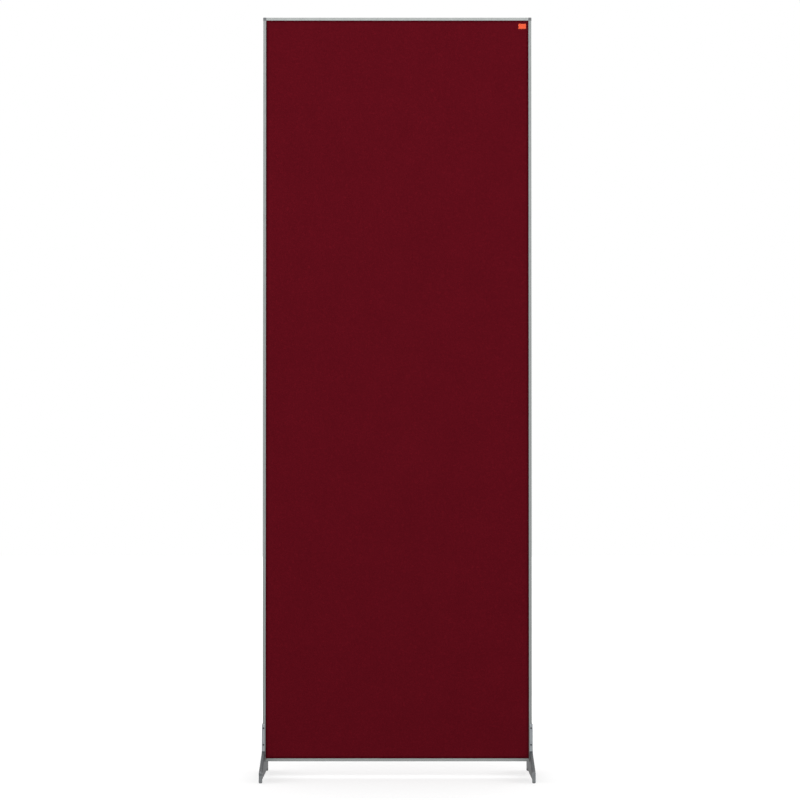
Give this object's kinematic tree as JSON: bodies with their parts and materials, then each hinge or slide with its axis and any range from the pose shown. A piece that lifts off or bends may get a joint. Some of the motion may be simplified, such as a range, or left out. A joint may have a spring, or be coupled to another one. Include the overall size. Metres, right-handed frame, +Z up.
{
  "type": "office partition",
  "caption": "Free-standing office partition: a tall felt-covered panel in a slim aluminium frame, standing on two low feet.",
  "frame": {"origin": "on the floor, in the middle between the four glides", "axes": "+Z up, +X across the panel to the right seen from the front, front felt facing -Y"},
  "size_m": [0.654, 0.4, 1.8384],
  "materials": {
    "anodised_aluminium": "satin natural anodised extrusion",
    "corner_plastic": "dark grey moulded, fine grain",
    "key_steel": "zinc-plated strip",
    "fibreboard": "soft fibreboard, uncoated",
    "burgundy_felt": "pressed wool-type felt",
    "orange_tab": "woven, plain, with a stitched border",
    "foot_paint": "satin silver-grey powder coat",
    "glide_plastic": "grey moulded",
    "screw_steel": "black oxide"
  },
  "bodies": {
    "root": {"left_stile": "anodised_aluminium", "right_stile": "anodised_aluminium", "top_rail": "anodised_aluminium", "bottom_rail": "anodised_aluminium", "left_upper_corner_cap": "corner_plastic", "right_upper_corner_cap": "corner_plastic", "left_lower_corner_cap": "corner_plastic", "right_lower_corner_cap": "corner_plastic", "left_upper_corner_key": "key_steel", "right_upper_corner_key": "key_steel", "left_lower_corner_key": "key_steel", "right_lower_corner_key": "key_steel", "core_board": "fibreboard", "front_felt": "burgundy_felt", "rear_felt": "burgundy_felt", "label_tab": "orange_tab", "left_foot": "foot_paint", "right_foot": "foot_paint", "left_front_glide": "glide_plastic", "right_front_glide": "glide_plastic", "left_rear_glide": "glide_plastic", "right_rear_glide": "glide_plastic", "left_clamp_screws": "screw_steel", "right_clamp_screws": "screw_steel"}
  },
  "joints": []
}
